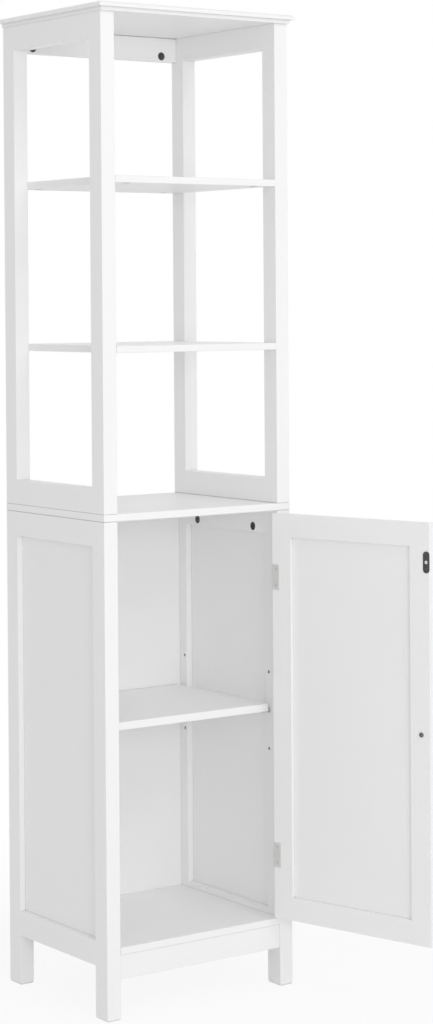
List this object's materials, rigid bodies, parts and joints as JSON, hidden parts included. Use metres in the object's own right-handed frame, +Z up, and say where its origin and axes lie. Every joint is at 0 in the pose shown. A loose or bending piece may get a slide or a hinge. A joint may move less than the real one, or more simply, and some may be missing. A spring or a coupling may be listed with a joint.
{
  "type": "tall bathroom cabinet",
  "caption": "Tall narrow cabinet: an open shelf stand on four posts above a cupboard with framed side panels, an inner shelf and an inset framed door standing open.",
  "frame": {"origin": "on the floor, in the middle of the rectangle that the four legs stand on", "axes": "+Z up, +Y to the back, +X to the right seen from the front"},
  "size_m": [0.4719, 0.6445, 1.7],
  "materials": {
    "white_paint": "satin white paint on board and solid wood",
    "panel_paint": "satin white paint on thin fibreboard",
    "beech": "bare beech",
    "cam_zinc": "dark passivated die-cast zinc",
    "bolt_steel": "zinc-plated steel",
    "pin_steel": "nickel-plated steel",
    "hinge_steel": "nickel-plated pressed steel",
    "screw_steel": "zinc-plated steel",
    "dark_steel": "dark oxidised steel",
    "catch_plastic": "white moulded plastic",
    "magnet": "dark ferrite",
    "pole_steel": "plain steel",
    "strike_dark": "dark oxidised steel",
    "knob_metal": "satin nickel plate"
  },
  "bodies": {
    "cabinet": {"top_board": "white_paint", "middle_board": "white_paint", "upper_post_front_left": "white_paint", "leg_front_left": "white_paint", "upper_post_rear_left": "white_paint", "leg_rear_left": "white_paint", "upper_top_rail_left": "white_paint", "upper_bottom_rail_left": "white_paint", "lower_top_rail_left": "white_paint", "lower_bottom_rail_left": "white_paint", "side_panel_left": "panel_paint", "upper_post_front_right": "white_paint", "leg_front_right": "white_paint", "upper_post_rear_right": "white_paint", "leg_rear_right": "white_paint", "upper_top_rail_right": "white_paint", "upper_bottom_rail_right": "white_paint", "lower_top_rail_right": "white_paint", "lower_bottom_rail_right": "white_paint", "side_panel_right": "panel_paint", "upper_rear_rail": "white_paint", "open_shelf_lower": "white_paint", "open_shelf_upper": "white_paint", "inner_shelf": "white_paint", "bottom_board": "white_paint", "front_apron": "white_paint", "back_panel": "panel_paint", "shelf_pins": "pin_steel", "rear_rail_cam_locks": "cam_zinc", "rear_rail_cam_bolts": "bolt_steel", "middle_cam_locks": "cam_zinc", "middle_cam_bolts": "bolt_steel", "open_shelf_cam_locks": "cam_zinc", "open_shelf_cam_bolts": "bolt_steel", "bottom_board_cam_locks": "cam_zinc", "bottom_board_cam_bolts": "bolt_steel", "side_frame_dowels": "beech", "top_dowels": "beech", "middle_dowels": "beech", "rear_rail_dowels": "beech", "apron_dowels": "beech", "hinge_post_leaves": "hinge_steel", "hinge_pins": "hinge_steel", "hinge_post_screws": "screw_steel", "catch_housing": "catch_plastic", "catch_magnet": "magnet", "catch_pole_plates": "pole_steel", "catch_screws": "screw_steel"},
    "door": {"door_hinge_stile": "white_paint", "door_free_stile": "white_paint", "door_top_rail": "white_paint", "door_bottom_rail": "white_paint", "door_panel": "panel_paint", "door_knob": "knob_metal", "door_knob_screw": "dark_steel", "hinge_door_leaves": "hinge_steel", "hinge_door_screws": "screw_steel", "strike_plate": "strike_dark", "strike_screw": "screw_steel"}
  },
  "joints": [
    {"name": "door_hinge", "type": "hinge", "parent": "cabinet", "child": "door", "pos_m": [0.166, -0.161, 0.4785], "axis": [0, 0, 1], "range_deg": [-105, 65]}
  ]
}
